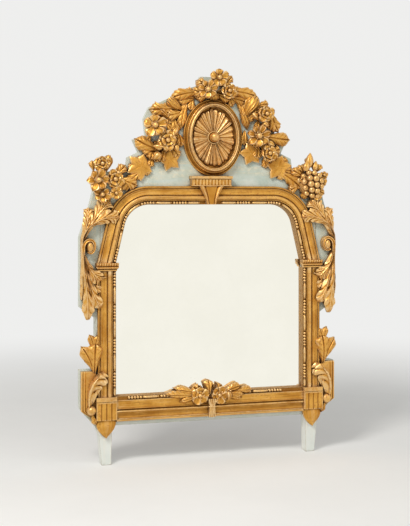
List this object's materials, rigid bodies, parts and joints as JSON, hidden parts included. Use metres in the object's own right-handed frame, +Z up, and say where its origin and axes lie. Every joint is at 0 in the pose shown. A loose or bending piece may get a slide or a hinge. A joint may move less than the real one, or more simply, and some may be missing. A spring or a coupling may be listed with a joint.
{
  "type": "pier mirror",
  "caption": "Arched upright mirror on short legs: grey-green painted boards, gilded carved mouldings, and a crest of flowers and leaves round an oval rosette.",
  "frame": {"origin": "middle of the foot at floor level, halfway between the back of the boards and the foremost flower", "axes": "+Z up, -Y towards the viewer out of the glass, +X to the viewer's right"},
  "size_m": [0.821, 0.1, 1.2005],
  "materials": {
    "grey_green_paint": "aged pale grey-green paint, matt, worn at the edges",
    "water_gilding": "worn burnished gold leaf over red-brown bole, dark in the hollows",
    "bare_wood": "old unfinished pine",
    "silvered_glass": "silvered glass, slightly soft with age",
    "wrought_iron": "black wrought iron, dull"
  },
  "bodies": {
    "carcase": {"arch_beads": "water_gilding", "arch_moulding": "water_gilding", "back_panel": "bare_wood", "bottom_beads": "water_gilding", "bottom_bouquet": "water_gilding", "bottom_moulding": "water_gilding", "bottom_rail_board": "grey_green_paint", "crest_batten": "bare_wood", "crest_board": "grey_green_paint", "glass_blocks": "bare_wood", "hanger_eye": "wrought_iron", "hanger_nails": "wrought_iron", "hanger_plate": "wrought_iron", "joint_pegs": "bare_wood", "keystone": "water_gilding", "keystone_cap": "water_gilding", "left_bracket": "water_gilding", "left_bracket_leaf": "water_gilding", "left_capital": "water_gilding", "left_corner_block": "water_gilding", "left_garland_flowers": "water_gilding", "left_garland_leaves": "water_gilding", "left_lower_acanthus": "water_gilding", "left_pendant": "water_gilding", "left_pilaster": "water_gilding", "left_pilaster_beads": "water_gilding", "left_shoulder_bouquet": "water_gilding", "left_stile_board": "grey_green_paint", "left_upper_acanthus": "water_gilding", "left_vine_leaf": "water_gilding", "left_volute": "water_gilding", "medallion_boss": "water_gilding", "medallion_ring": "water_gilding", "medallion_rosette": "water_gilding", "mirror_glass": "silvered_glass", "panel_brads": "wrought_iron", "right_bracket": "water_gilding", "right_bracket_leaf": "water_gilding", "right_capital": "water_gilding", "right_corner_block": "water_gilding", "right_garland_flowers": "water_gilding", "right_garland_leaves": "water_gilding", "right_lower_acanthus": "water_gilding", "right_pendant": "water_gilding", "right_pilaster": "water_gilding", "right_pilaster_beads": "water_gilding", "right_shoulder_bouquet": "water_gilding", "right_stile_board": "grey_green_paint", "right_upper_acanthus": "water_gilding", "right_vine_leaf": "water_gilding", "right_volute": "water_gilding", "top_bouquet": "water_gilding"},
    "ring": {"hanging_ring": "wrought_iron"}
  },
  "joints": [
    {"name": "ring_swing", "type": "hinge", "parent": "carcase", "child": "ring", "pos_m": [0, 0.0422, 1.012], "axis": [1, 0, 0], "range_deg": [0, 170]}
  ]
}
